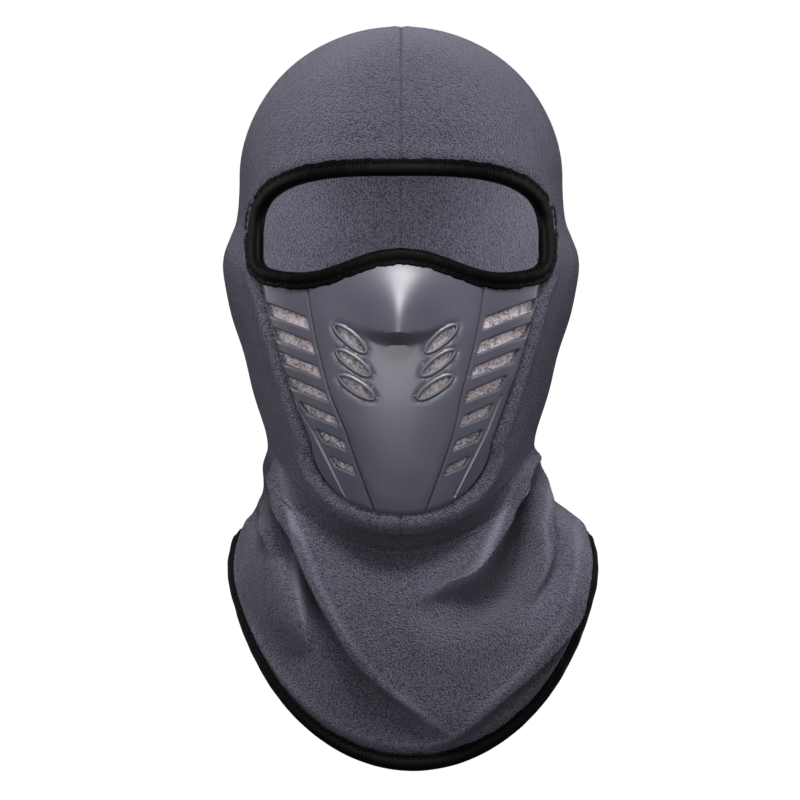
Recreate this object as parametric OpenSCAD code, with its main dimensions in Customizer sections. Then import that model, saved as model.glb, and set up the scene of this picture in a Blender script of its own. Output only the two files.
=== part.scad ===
// Cold-weather balaclava: a fleece hood in two halves, a one-piece moulded
// breather mask sewn into the face, a bound eye opening and a draped neck cape.
// The wearer faces -Y, +Z is up and the origin is the inside top of the crown,
// where the head bears. All surfaces are worked out from one body function.

/* [Hood] */
// Height of the crown, from its top down to the temples
crown_h = 78; // [60:1:100]
// Width over the temples
temple_w = 162; // [130:1:200]
// Width over the ears
ear_w = 177; // [145:1:215]
// Width over the cheeks
cheek_w = 157; // [130:1:190]
// Width of the neck under the jaw
jaw_w = 133; // [105:1:165]
// Height from the temples down to the ears
ear_drop = 40; // [30:1:50]
// Height from the ears down to the cheeks
cheek_drop = 44; // [30:1:55]
// Height from the cheeks down to the jaw seam at the side
jaw_drop = 46; // [35:1:60]
// How much lower the jaw seam runs under the chin than at the side
chin_drop = 45; // [30:1:60]
// Reach of the brow in front of the ears
brow_reach = 96; // [75:1:120]
// Reach of the bridge of the nose in front of the ears
bridge_reach = 98; // [78:1:120]
// Reach of the lips in front of the ears
lip_reach = 106; // [85:1:130]
// Reach of the chin in front of the ears
chin_reach = 93; // [75:1:115]
// Reach of the back of the head behind the ears
back_reach = 98; // [80:1:120]
// Reach of the nape behind the ears
nape_reach = 74; // [60:1:90]
// Thickness of the fleece
fleece_t = 2; // [1.5:0.1:3]

/* [Neck cape] */
// Width of the cape at its widest
cape_w = 190; // [150:1:230]
// Height over which the cape spreads to that width
cape_spread = 67; // [50:1:80]
// Height of the hem at the sides, below the jaw seam
side_drop = 49; // [38:1:60]
// How much lower the front hem hangs than the side hem
front_drop = 111; // [90:1:140]
// How much lower the back hem hangs than the side hem
back_drop = 72; // [50:1:90]
// Reach of the throat in front of the ears
throat_reach = 76; // [60:1:88]
// Reach of the front hem in front of the ears
chest_reach = 92; // [75:1:110]
// Reach of the back hem behind the ears
shoulder_reach = 86; // [70:1:105]

/* [Eye opening] */
// Width of the opening
eye_w = 143; // [115:1:152]
// Height of the opening above its corners' level
eye_rise = 32; // [26:1:36]
// Height of the opening below that level
eye_fall = 19; // [15:1:23]
// Distance from the temples down to that level
eye_drop = 28; // [22:1:34]
// Height of the arch over the nose
arch_h = 12.5; // [8:0.5:15]
// Half the width of that arch
arch_w = 52; // [42:1:60]

/* [Breather mask] */
// Thickness of the silicone
mask_t = 2; // [1.5:0.1:3]
// Width of the mask at its top
mask_w = 142; // [116:1:150]
// Width of the mask where its round foot starts
foot_w = 94; // [78:1:112]
// Height of the round foot
foot_h = 36; // [30:1:43]
// Width of the fleece rim between the mask's foot and the jaw seam
chin_rim = 9; // [6:1:14]
// Width of the sewing flange under the fleece
flange_w = 6; // [4:0.5:8]
// Height of the nose bump
nose_h = 14; // [8:1:18]
// Half the width of the nose bump
nose_w = 17; // [12:1:22]
// Distance from the eye corners' level down to the tip of the nose
nose_drop = 49; // [40:1:59]
// Number of breathing slots on each side
slot_count = 7; // [5:1:8]
// Distance from one slot to the next
slot_pitch = 12.3; // [10:0.1:14]
// Height of the top slot
slot_h = 6.4; // [4:0.2:7]
// How much lower each slot is than the one above it
slot_taper = 0.35; // [0:0.05:0.5]
// Number of oval vents on each side of the nose
oval_count = 3; // [1:1:3]
// Length of an oval vent
oval_l = 19; // [14:0.5:22]
// Width of an oval vent
oval_w = 4.4; // [3:0.1:5]
// Thickness of the pile lining behind the mask
lining_t = 2.4; // [1.5:0.1:3.5]

/* [Tape and thread] */
// Width of the binding tape on each face
tape_w = 6.5; // [5:0.5:8]
// Thickness of the tape
tape_t = 0.9; // [0.6:0.1:1.4]
// Length of a stitch
stitch_l = 4.5; // [3:0.5:6]
// Distance from one stitch to the next
stitch_pitch = 8; // [7:0.5:12]
// Thickness of the thread
thread_t = 0.6; // [0.4:0.1:1]
// Width of the blank care label
label_w = 30; // [20:1:40]

/* [Hidden] */

gap = 0.1;          // clearance between layers that touch
far = 400;          // reach of the cutting prisms
around = 56;        // steps round the hood and the cape
down = 26;          // steps down the hood
v_temple = 1;       // levels down the body: the crown ends here
v_jaw = 4;          // the hood ends and the cape starts here
v_hem = 5;          // the cape ends here
v_pole = 0.03;      // the crown is capped here
face_square = 2.25; // how square the front of the head's section is
nudge = 0.01;       // step for measuring slopes
hem_curve = 0.42;   // how squarely the hem turns at the sides
hem_round = 0.03;   // how softly the hem turns at its highest point
tuck = 0.1;         // share of the cape over which it turns under the chin
fine = 160;         // steps along a line of stitches before they are spread

z_top = fleece_t;
z_temple = z_top - crown_h;
z_ear = z_temple - ear_drop;
z_cheek = z_ear - cheek_drop;
z_jaw = z_cheek - jaw_drop;
z_side_hem = z_jaw - side_drop;
z_eye = z_temple - eye_drop;
z_foot = z_jaw - chin_drop + chin_rim + foot_h;
z_nose = z_eye - nose_drop;
z_mask_top = z_eye - eye_fall;
nape_lift = 8;      // how much higher the jaw seam runs at the nape

// Levels from the temples to the jaw seam, each with its height at the side,
// in front and behind, its half width, and its reach in front and behind
levels = [
    [z_temple, z_temple, z_temple, temple_w/2, brow_reach, back_reach - 2],
    [z_ear, z_ear - 0.18*chin_drop, z_ear, ear_w/2, bridge_reach, back_reach],
    [z_cheek, z_cheek - 0.55*chin_drop, z_cheek + nape_lift/2, cheek_w/2, lip_reach,
        (back_reach + nape_reach)/2],
    [z_jaw, z_jaw - chin_drop, z_jaw + nape_lift, jaw_w/2, chin_reach, nape_reach]];

function mix(a, b, t) = a + (b - a)*t;
function limit(x) = min(1, max(0, x));
function ease(x) = let (t = limit(x)) t*t*(3 - 2*t);
function unit(p) = p/norm(p);

// Smooth curve through four values, between the second and the third
function through(p, q, r, s, t) =
    0.5*(2*q + (r - p)*t + (2*p - 5*q + 4*r - s)*t*t + (3*q - p - 3*r + s)*t*t*t);

// Level of the hood at v: a quarter ellipse over the crown, then the table
function level(v) = v < v_temple
    ? let (z = z_top - crown_h*(1 - cos(90*v)), first = levels[0])
      [z, z, z, first[3]*sin(90*v), first[4]*sin(90*v), first[5]*sin(90*v)]
    : let (last = len(levels) - 1, t = v - v_temple, i = min(floor(t), last - 1))
      through(levels[max(i - 1, 0)], levels[i], levels[i + 1],
          levels[min(i + 2, last)], t - i);

// Point on the outside of the hood at angle a from the front, level v. Its
// section is an ellipse behind and a squarer curve of the power face_square ahead
function bend(x) = sign(x)*pow(abs(x), 2/face_square);
function hood_point(a, v) =
    let (l = level(v), c = cos(a), s = sin(a), tilt = c*c)
    c > 0 ? [l[3]*bend(s), -l[4]*bend(c), l[0] + (l[1] - l[0])*tilt]
    : [l[3]*s, -l[5]*c, l[0] + (l[2] - l[0])*tilt];

function hem_share(c) = pow(c*c + hem_round, hem_curve) - pow(hem_round, hem_curve);
function hem_z(a) = z_side_hem
    - (cos(a) > 0 ? front_drop : back_drop)*hem_share(cos(a))/hem_share(1);

// Point on the outside of the cape, w = 0 at the jaw seam and 1 at the hem
function cape_point(a, w) =
    let (top = hood_point(a, v_jaw), z = mix(top[2], hem_z(a), w),
        half = mix(jaw_w/2, cape_w/2, ease((z_jaw - z)/cape_spread)),
        sink = limit((z_jaw - z)/(side_drop + front_drop)),
        reach = cos(a) > 0 ? -mix(throat_reach, chest_reach, sink)
            : -mix(nape_reach, shoulder_reach, sink),
        free = [half*sin(a), reach*cos(a), z])
    mix(top, free, ease(w/tuck));

function body_point(a, v) = v <= v_jaw ? hood_point(a, v) : cape_point(a, v - v_jaw);

function body_normal(a, v) =
    let (lo = max(v - nudge, v_pole/2), hi = v == v_jaw ? v : v + nudge,
        downward = body_point(a, hi) - body_point(a, lo),
        round = body_point(a + 1, v) - body_point(a - 1, v))
    unit(cross(downward, round));

// Half width of the mask's outline at height z, and the nearest way in from it
function mask_half(z) = z > z_foot
    ? mix(mask_w/2, foot_w/2, pow(limit((z_mask_top - z)/(z_mask_top - z_foot)), 1.3))
    : foot_w/2*sqrt(limit(1 - pow((z_foot - z)/foot_h, 2)));
function mask_inset(p) = min(mask_half(p[2]) - abs(p[0]), p[2] - z_foot + foot_h);

// Nose bump: it grows down to the tip and falls away quickly under it
function nose_bump(p) =
    let (over = ease((z_mask_top + 14 - p[2])/(z_mask_top + 14 - z_nose)),
        under = ease((p[2] - z_nose + 7)/8))
    p[1] > 0 ? 0 : nose_h*over*under*exp(-pow(abs(p[0])/nose_w, 1.7));

// The mask lies under the fleece at its flange and rises to the fleece's face
function mask_face(p) = mix(-fleece_t - gap, 0, ease(mask_inset(p)/4)) + nose_bump(p);

// Outline of the eye opening in front view, grown by g
function eye_outline(g = 0, steps = 72) = [
    for (i = [0:steps - 1])
        let (a = 360*i/steps, s = sin(a), c = cos(a), upper = s >= 0,
            e = 2/(upper ? 3.1 : 6),
            x = (eye_w/2 + g)*sign(c)*pow(abs(c), e),
            bow = arch_h*pow(cos(90*min(1, abs(x)/arch_w)), 2))
        [x, upper ? z_eye + (eye_rise + g)*pow(s, e)
            : z_eye - (eye_fall + g)*pow(-s, e) + bow*limit(-2*s)]];

// Outline of the mask in front view, grown by g, from its top corners down
function mask_outline(g = 0, steps = 24) = concat(
    [for (i = [0:steps]) let (z = mix(z_eye, z_foot, i/steps)) [-mask_half(z) - g, z]],
    [for (i = [1:steps - 1]) let (a = 180*i/steps)
        [-(foot_w/2 + g)*cos(a), z_foot - (foot_h + g)*sin(a)]],
    [for (i = [steps:-1:0]) let (z = mix(z_eye, z_foot, i/steps)) [mask_half(z) + g, z]]);

// Angle and level of the hood's point at x and z in front view, by halving
function find_level(x, z, lo = v_pole, hi = v_jaw, tries = 20) =
    let (v = (lo + hi)/2, across = max(-1, min(1, x/level(v)[3])),
        a = asin(sign(across)*pow(abs(across), face_square/2)))
    tries == 0 ? [a, v]
    : hood_point(a, v)[2] > z ? find_level(x, z, v, hi, tries - 1)
    : find_level(x, z, lo, v, tries - 1);

// A path is a list of frames: place, outward normal, direction along the path.
// Each place is given as [angle, level], and a closed path joins its two ends
function frames(places, closed = true) =
    let (n = len(places), last = n - 1,
        points = [for (q = places) let (p = body_point(q[0], q[1]))
            p + body_normal(q[0], q[1])*nose_bump(p)])
    [for (i = [0:last])
        let (next = closed ? (i + 1)%n : min(i + 1, last),
            past = closed ? (i + last)%n : max(i - 1, 0))
        [points[i], body_normal(places[i][0], places[i][1]),
            unit(points[next] - points[past])]];
function eye_path(steps) =
    frames([for (q = eye_outline(0, steps)) find_level(q[0], q[1])]);
function ring_path(v, steps) = frames([for (i = [0:steps - 1]) [-360*i/steps, v]]);
function meridian(a, v0, v1) =
    frames([for (i = [0:fine - 1]) [a, mix(v0, v1, i/(fine - 1))]], false);
function mask_path(g) = frames([for (q = mask_outline(g, 40))
    if (q[1] < z_mask_top - 2*tape_w) find_level(q[0], q[1])], false);

// The same path moved sideways over the surface, away from the edge it follows
function beside(path, d) =
    [for (f = path) [f[0] + unit(cross(f[2], f[1]))*d, f[1], f[2]]];

// The frames of a path that lie one stitch pitch apart
function spread(path) = let (n = len(path))
    [for (i = 0, before = -1, s = 0; i < n; before = s,
            s = s + norm(path[(i + 1)%n][0] - path[i][0]), i = i + 1)
        if (floor(s/stitch_pitch) > floor(before/stitch_pitch)) path[i]];

// Closed shell round the body between levels v0 and v1 and between two offsets.
// A bunch over 1 crowds its rings towards v0
module round_shell(v0, v1, steps, outer, inner, bunch = 1) {
    function grid(o) = [for (i = [0:steps]) let (v = mix(v0, v1, pow(i/steps, bunch)))
        for (k = [0:around - 1]) let (a = 360*k/around)
            body_point(a, v) + body_normal(a, v)*o];
    count = (steps + 1)*around;
    function at(s, i, k) = s*count + i*around + k%around;
    polyhedron(concat(grid(outer), grid(inner)), concat(
        [for (i = [0:steps - 1], k = [0:around - 1])
            [at(0, i, k), at(0, i, k + 1), at(0, i + 1, k + 1), at(0, i + 1, k)]],
        [for (i = [0:steps - 1], k = [0:around - 1])
            [at(1, i, k), at(1, i + 1, k), at(1, i + 1, k + 1), at(1, i, k + 1)]],
        [for (k = [0:around - 1])
            [at(0, steps, k), at(0, steps, k + 1), at(1, steps, k + 1), at(1, steps, k)]],
        v0 > v_pole ? [for (k = [0:around - 1])
            [at(0, 0, k), at(1, 0, k), at(1, 0, k + 1), at(0, 0, k + 1)]]
        : [[for (k = [around - 1:-1:0]) at(0, 0, k)],
            [for (k = [0:around - 1]) at(1, 0, k)]]), convexity = 6);
}

// Closed patch of the body, where face(p) gives the outer offset at a point
module patch(a0, a1, v0, v1, wide, high, face, thick) {
    function grid(drop) = [for (i = [0:high]) let (v = mix(v0, v1, i/high))
        for (k = [0:wide]) let (a = mix(a0, a1, k/wide), p = body_point(a, v))
            p + body_normal(a, v)*(face(p) - drop)];
    row = wide + 1;
    count = (high + 1)*row;
    function at(s, i, k) = s*count + i*row + k;
    polyhedron(concat(grid(0), grid(thick)), concat(
        [for (i = [0:high - 1], k = [0:wide - 1])
            [at(0, i, k), at(0, i, k + 1), at(0, i + 1, k + 1), at(0, i + 1, k)]],
        [for (i = [0:high - 1], k = [0:wide - 1])
            [at(1, i, k), at(1, i + 1, k), at(1, i + 1, k + 1), at(1, i, k + 1)]],
        [for (k = [0:wide - 1], i = [0, high]) i == 0
            ? [at(0, i, k), at(1, i, k), at(1, i, k + 1), at(0, i, k + 1)]
            : [at(0, i, k), at(0, i, k + 1), at(1, i, k + 1), at(1, i, k)]],
        [for (i = [0:high - 1], k = [0, wide]) k == 0
            ? [at(0, i, k), at(0, i + 1, k), at(1, i + 1, k), at(1, i, k)]
            : [at(0, i, k), at(1, i, k), at(1, i + 1, k), at(0, i + 1, k)]]),
        convexity = 6);
}

// Tape folded over an edge and carried round a closed path. The fold is at the
// edge and both legs reach tape_w away from it, over fabric of thickness cloth
module folded_tape(path, cloth) {
    top = gap + tape_t;
    low = -cloth - gap - tape_t;
    section = [[-tape_t, low + 0.5], [-tape_t, top - 0.5], [0, top], [tape_w, top],
        [tape_w, gap], [gap, gap], [gap, -cloth - gap], [tape_w, -cloth - gap],
        [tape_w, low], [0, low]];
    n = len(section);
    m = len(path);
    points = [for (q = section) for (f = beside(path, q[0])) f[0] + f[1]*q[1]];
    polyhedron(points, [for (j = [0:n - 1], i = [0:m - 1])
        let (a = j*m, b = ((j + 1)%n)*m, k = (i + 1)%m)
        [a + i, a + k, b + k, b + i]], convexity = 6);
}

// Flat prism through the face, from an outline in front view
module through_face(outline) {
    rotate([90, 0, 0]) linear_extrude(far) polygon(outline);
}

// Stitches one pitch apart, lying along a path (or across it) at an offset
module stitches(path, offset, across = false) {
    for (f = spread(path)) {
        t = across ? unit(cross(f[1], f[2])) : f[2];
        s = unit(cross(f[1], t));
        p = f[0] + f[1]*offset;
        multmatrix([[t[0], s[0], f[1][0], p[0]], [t[1], s[1], f[1][1], p[1]],
            [t[2], s[2], f[1][2], p[2]], [0, 0, 0, 1]])
            cube([stitch_l, thread_t, thread_t], center = true);
    }
}

// Resizing to nothing keeps the size and makes one mesh of a cut shell
module hood_half(side) {
    resize([0, 0, 0]) difference() {
        round_shell(v_pole, v_jaw, down, 0, -fleece_t);
        translate([side > 0 ? -far : 0, -far/2, -far]) cube([far, far, 2*far]);
        through_face(eye_outline(gap));
        through_face(mask_outline());
    }
}

module hood_left() { color("#63636f") hood_half(1); }

module hood_right() { color("#63636f") hood_half(-1); }

module neck_cape() {
    color("#5b5b68") resize([0, 0, 0]) round_shell(v_jaw, v_hem - 2*gap/front_drop, 12,
        0, -fleece_t, 1.7);
}

// Sides of the slots in front view: the inner seam line and the outer one
function inner_line(z) =
    let (t = limit((z_mask_top - z)/(z_mask_top - z_foot + foot_h)))
    mix(0.306*mask_w, 0.13*foot_w, pow(t, 1.4));
function outer_line(z) = min(mask_half(z) + 0.8, 0.61*foot_w - 0.51*(z_nose - 19 - z));
function slot_end(x, z, slope, tries = 5) = tries == 0 ? [x, z]
    : slot_end(outer_line(z) - 2.2, z + slope*(outer_line(z) - 2.2 - x), slope, tries - 1);

module slot(i) {
    z = z_nose + 9.7 - slot_pitch*i;
    h = slot_h - slot_taper*i;
    top = [inner_line(z) + 2.6, z];
    foot = [inner_line(z - h) + 2.2, z - h];
    through_face([top, slot_end(top[0], top[1], 0.36 + 0.02*i),
        slot_end(foot[0], foot[1], 0.35 + 0.01*i), foot]);
}

module oval_vent(i) {
    translate([22.5 - 1.6*i, 0, z_nose - 1 - 12*i]) rotate([90, 40 - 3.5*i, 0])
        linear_extrude(far) scale([oval_l/oval_w, 1]) circle(d = oval_w, $fn = 32);
}

module breather_mask() {
    color("#787885") resize([0, 0, 0]) difference() {
        patch(-80, 80, 1.6, v_jaw, 38, 22, function (p) mask_face(p), mask_t);
        through_face(eye_outline(gap));
        difference() {
            translate([-far/2, -far, -far]) cube([far, far, 2*far]);
            through_face(mask_outline(flange_w));
        }
        for (side = [0, 1]) mirror([side, 0, 0]) {
            for (i = [0:slot_count - 1]) slot(i);
            for (i = [0:oval_count - 1]) oval_vent(i);
        }
    }
}

module face_lining() {
    color("#c9bcc2") resize([0, 0, 0]) intersection() {
        patch(-78, 78, 1.9, v_jaw, 30, 18,
            function (p) mask_face(p) - mask_t - gap, lining_t);
        difference() {
            through_face(mask_outline(-1.5));
            through_face(eye_outline(tape_w + 1));
        }
    }
}

module eye_binding() {
    color("#111114") folded_tape(eye_path(72), fleece_t);
}

module hem_binding() {
    color("#111114") folded_tape(ring_path(v_hem, 80), fleece_t);
}

module crown_seam_thread() {
    color("#3a3a44") {
        stitches(meridian(0, 0.08, 0.82), -fleece_t, true);
        stitches(meridian(180, 0.05, v_jaw - 0.05), -fleece_t, true);
    }
}

module neck_seam_thread() {
    color("#3a3a44") stitches(ring_path(v_jaw - 0.06, fine), -fleece_t);
}

module cape_back_seam_thread() {
    color("#3a3a44") stitches(meridian(180, v_jaw + 0.12, v_hem - 0.12), -fleece_t, true);
}

module mask_seam_thread() {
    color("#3a3a44") stitches(mask_path(flange_w/2), -fleece_t - gap - mask_t);
}

module lining_thread() {
    color("#c9bcc2") stitches(mask_path(-4), -mask_t - gap - lining_t);
}

module eye_binding_thread() {
    color("#1c1c20") stitches(beside(eye_path(fine), tape_w - 1.5), gap + tape_t);
}

module hem_binding_thread() {
    color("#1c1c20") stitches(beside(ring_path(v_hem, fine), tape_w - 1.5), gap + tape_t);
}

module care_label() {
    half = label_w/2/nape_reach*180/PI;
    color("#d8d8dc") patch(180 - half, 180 + half, 3.45, 3.95, 6, 4,
        function (p) -fleece_t - gap, 0.4);
}

module care_label_thread() {
    color("#8a8a90") stitches(frames([for (i = [0:40]) [170 + i/2, 3.5]], false),
        -fleece_t - gap - 0.4);
}

hood_left();
hood_right();
neck_cape();
breather_mask();
face_lining();
eye_binding();
hem_binding();
crown_seam_thread();
neck_seam_thread();
cape_back_seam_thread();
mask_seam_thread();
lining_thread();
eye_binding_thread();
hem_binding_thread();
care_label();
care_label_thread();
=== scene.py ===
import math
import bpy
import numpy as np
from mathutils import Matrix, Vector
from mathutils.geometry import delaunay_2d_cdt


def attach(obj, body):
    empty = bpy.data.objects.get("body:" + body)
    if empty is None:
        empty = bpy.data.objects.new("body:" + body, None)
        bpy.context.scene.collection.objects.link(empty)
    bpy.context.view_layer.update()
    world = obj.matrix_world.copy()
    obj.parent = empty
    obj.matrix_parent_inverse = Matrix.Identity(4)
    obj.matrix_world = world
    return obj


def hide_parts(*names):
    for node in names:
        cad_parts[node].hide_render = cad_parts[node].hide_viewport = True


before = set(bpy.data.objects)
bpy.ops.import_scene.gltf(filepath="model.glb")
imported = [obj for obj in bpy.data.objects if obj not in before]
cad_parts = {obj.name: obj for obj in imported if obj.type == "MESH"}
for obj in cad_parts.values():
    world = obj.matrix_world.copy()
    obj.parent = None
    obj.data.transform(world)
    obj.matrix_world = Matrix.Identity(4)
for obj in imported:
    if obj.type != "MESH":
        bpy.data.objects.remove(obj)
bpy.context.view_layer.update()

mm = 0.001
rng = np.random.default_rng(11)

# Shapes are worked out in millimetres, in the CAD frame, and become metres when
# a mesh is made. The wearer faces -Y.


def mix(a, b, t):
    return a + (b - a) * t


def ease(x):
    # 0 to 1 with level ends
    t = np.clip(x, 0, 1)
    return t * t * (3 - 2 * t)


def unit(p):
    return p / np.maximum(np.linalg.norm(p, axis=-1, keepdims=True), 1e-12)


def bell(x, width):
    return np.exp(-(x / width) ** 2)


def curveThrough(p, q, r, s, t):
    # Catmull-Rom: from q at t = 0 to r at t = 1, with p before and s after them
    return 0.5 * (2 * q + (r - p) * t + (2 * p - 5 * q + 4 * r - s) * t**2
                  + (3 * q - p - 3 * r + s) * t**3)


# the head form
head = dict(
    top=2.0, crown=78.0, crownRound=0.96, square=2.25,
    # height at the side, in front and behind, half width, reach ahead and behind
    stations=np.array([
        (-76, -76, -76, 80.7, 96, 96), (-94, -96, -94, 82, 96.5, 98),
        (-103, -107, -103, 85, 97.5, 98), (-112, -119, -112, 88.2, 99, 98),
        (-122, -133, -121, 88.6, 101.5, 97.5), (-139, -157, -136, 85.2, 105, 94),
        (-159, -187, -154, 79, 106, 88), (-179, -215, -172, 73.8, 103, 81),
        (-199, -242, -191, 67.8, 97, 75.5), (-206, -251, -198, 66.5, 93, 74)]),
)
vPole = 0.012
vJaw = float(len(head["stations"]))


def levelAt(v):
    # a quarter ellipse over the crown up to v = 1, then a smooth curve through
    # the stations
    v = np.asarray(v, float)
    rows, last = head["stations"], len(head["stations"]) - 1
    q = np.clip(v, 0, 1) * math.pi / 2
    z = head["top"] - head["crown"] * (1 - np.cos(q))
    grow = np.sin(q) ** head["crownRound"]
    crown = np.stack([z, z, z, *[rows[0, k] * grow for k in (3, 4, 5)]], -1)
    t = np.clip(v - 1, 0, last)
    i = np.minimum(t.astype(int), last - 1)
    t = (t - i)[..., None]
    table = curveThrough(*(rows[np.clip(i + k, 0, last)] for k in (-1, 0, 1, 2)), t)
    return np.where((v < 1)[..., None], crown, table)


def bend(x, power=head["square"]):
    return np.sign(x) * np.abs(x) ** (2 / power)


def headPoint(a, v):
    # a is the angle from the front; an ellipse behind, a squarer curve ahead
    a, v = np.broadcast_arrays(a, v)
    l, c, s = levelAt(v), np.cos(a), np.sin(a)
    front = c > 0
    return np.stack([
        l[..., 3] * np.where(front, bend(s), s),
        np.where(front, -l[..., 4] * bend(c), -l[..., 5] * c),
        l[..., 0] + (np.where(front, l[..., 1], l[..., 2]) - l[..., 0]) * c * c], -1)


def headNormal(a, v):
    down = headPoint(a, v + 0.02) - headPoint(a, np.maximum(v - 0.02, vPole / 2))
    return unit(np.cross(down, headPoint(a + 0.015, v) - headPoint(a - 0.015, v)))


def findLevel(x, z):
    # angle and level of the head's point at x and z in front view, by halving
    x, z = np.broadcast_arrays(np.asarray(x, float), np.asarray(z, float))
    lo, hi = np.full(x.shape, vPole), np.full(x.shape, vJaw)
    for _ in range(30):
        v = (lo + hi) / 2
        across = np.clip(x / levelAt(v)[..., 3], -1, 1)
        a = np.arcsin(np.sign(across) * np.abs(across) ** (head["square"] / 2))
        above = headPoint(a, v)[..., 2] > z
        lo, hi = np.where(above, v, lo), np.where(above, hi, v)
    return a, v


def onHead(x, z):
    # the head's place and outward normal at x and z in front view
    a, v = findLevel(x, z)
    return headPoint(a, v), headNormal(a, v)


# outlines in front
eye = dict(wide=143.0, rise=32.0, fall=19.0, level=-104.0, arch=12.5, archHalf=52.0)
mask = dict(thick=2.0, top=-123.0, foot=-206.0, footHigh=36.0, halfTop=71.0,
            halfFoot=47.0, flange=6.0, sink=2.1, step=1.5)


def runAlong(line):
    # the length run at each point of a line
    return np.r_[0, np.cumsum(np.linalg.norm(np.diff(line, axis=0), axis=1))]


def leftOf(way):
    return np.stack([-way[..., 1], way[..., 0]], -1)


def evenly(line, step, closed=False):
    # the same line with its points one step apart
    if closed:
        line = np.vstack([line, line[:1]])
    run = runAlong(line)
    count = max(int(round(run[-1] / step)), 2)
    at = np.linspace(0, run[-1], count + 1)
    made = np.stack([np.interp(at, run, line[:, k]) for k in range(line.shape[1])], -1)
    return made[:-1] if closed else made


def smoothLine(points, step):
    # a smooth curve through the points given, any number of columns
    p = np.asarray(points, float)
    p = np.vstack([2 * p[0] - p[1], p, 2 * p[-1] - p[-2]])
    t = np.linspace(0, 1, 24, endpoint=False)[:, None, None]
    curve = curveThrough(p[None, :-3], p[None, 1:-2], p[None, 2:-1], p[None, 3:], t)
    curve = curve.transpose(1, 0, 2).reshape(-1, p.shape[1])
    return evenly(np.vstack([curve, p[-2]]), step)


def eyeOutline():
    # a rounded box with an arch over the nose, anticlockwise from the right
    a = np.linspace(0, 2 * math.pi, 2400, endpoint=False)
    s, c = np.sin(a), np.cos(a)
    power = 2 / np.where(s >= 0, 3.1, 6)
    x = eye["wide"] / 2 * np.sign(c) * np.abs(c) ** power
    bow = eye["arch"] * np.cos(math.pi / 2 * np.minimum(1, np.abs(x) / eye["archHalf"])) ** 2
    z = np.where(s >= 0, eye["level"] + eye["rise"] * np.abs(s) ** power,
                 eye["level"] - eye["fall"] * np.abs(s) ** power
                 + bow * np.clip(-2 * s, 0, 1))
    return np.stack([x, z], -1)


def maskHalf(z):
    t = np.clip((mask["top"] - z) / (mask["top"] - mask["foot"]), 0, 1)
    foot = np.sqrt(np.clip(1 - ((mask["foot"] - z) / mask["footHigh"]) ** 2, 0, 1))
    return np.where(z > mask["foot"], mix(mask["halfTop"], mask["halfFoot"], t**1.3),
                    mask["halfFoot"] * foot)


def maskOutline(grow=0.0, top=None):
    # from the right top corner down, round the foot and up the left side
    z = np.linspace(eye["level"] if top is None else top, mask["foot"], 200)
    a = np.linspace(0, math.pi, 200)[1:-1]
    side = np.stack([maskHalf(z) + grow, z], -1)
    foot = np.stack([(mask["halfFoot"] + grow) * np.cos(a),
                     mask["foot"] - (mask["footHigh"] + grow) * np.sin(a)], -1)
    return np.vstack([side, foot, side[::-1] * (-1, 1)])


def nearest(points, targets, also=False):
    # distance from each point to the nearest target, in slices to spare memory
    best, which = [], []
    for part in np.array_split(points, max(len(points) // 2000, 1)):
        gap = ((part[:, None] - targets[None]) ** 2).sum(-1)
        which.append(gap.argmin(1))
        best.append(np.sqrt(gap.min(1)))
    best = np.concatenate(best)
    return (best, np.concatenate(which)) if also else best


def inside(points, loop):
    # even-odd rule, whole arrays at a time
    x0, y0 = loop[:, 0], loop[:, 1]
    x1, y1 = np.roll(x0, -1), np.roll(y0, -1)
    found = []
    for part in np.array_split(points, max(len(points) // 4000, 1)):
        x, y = part[:, :1], part[:, 1:2]
        across = (y0 > y) != (y1 > y)
        at = x0 + (y - y0) / np.where(y1 == y0, 1e-9, y1 - y0) * (x1 - x0)
        found.append((across & (x < at)).sum(1) % 2 == 1)
    return np.concatenate(found)


def comb(half, low, high, step):
    # points in rows, every second row half a step along
    xs, zs = np.meshgrid(np.arange(-half, half + 1, step), np.arange(low, high, step * 0.87))
    xs = xs + (np.arange(len(xs)) % 2)[:, None] * step / 2
    return np.stack([xs.ravel(), zs.ravel()], -1)


def triangulate(free, lines, keep, clear):
    # Delaunay triangles of free points and fixed lines; keep(centres) picks them
    fixed = np.vstack([l for l, _ in lines])
    free = free[nearest(free, fixed) > clear]
    edges, start = [], 0
    for line, closed in lines:
        n = len(line)
        pairs = np.stack([np.arange(n), (np.arange(n) + 1) % n], -1) + start
        edges += (pairs if closed else pairs[:-1]).tolist()
        start += n
    points = np.vstack([fixed, free])
    made = delaunay_2d_cdt([Vector(p) for p in points.tolist()], edges, [], 0, 1e-5)
    flat = np.array([tuple(p) for p in made[0]])
    faces = np.array([f[:] for f in made[2]])
    faces = faces[keep(flat[faces].mean(1))]
    used, faces = np.unique(faces, return_inverse=True)
    return flat[used], faces.reshape(-1, 3)


# mesh making
def rimEdges(faces):
    # directed edges with no partner
    k = faces.shape[1]
    pairs = np.concatenate([faces[:, [i, (i + 1) % k]] for i in range(k)])
    pairs = pairs[pairs[:, 0] != pairs[:, 1]]
    big = pairs.max() + 1
    code, back = pairs[:, 0] * big + pairs[:, 1], pairs[:, 1] * big + pairs[:, 0]
    return pairs[~np.isin(code, back)]


def faceNormals(points, faces):
    return np.cross(points[faces[:, -2]] - points[faces[:, 0]],
                    points[faces[:, -1]] - points[faces[:, 0]])


def turnOut(points, faces, out):
    # turns round each face that looks against the normal at its first corner
    turned = (faceNormals(points, faces) * out[faces[:, 0]]).sum(1) < 0
    faces[turned] = faces[turned, ::-1]


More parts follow.
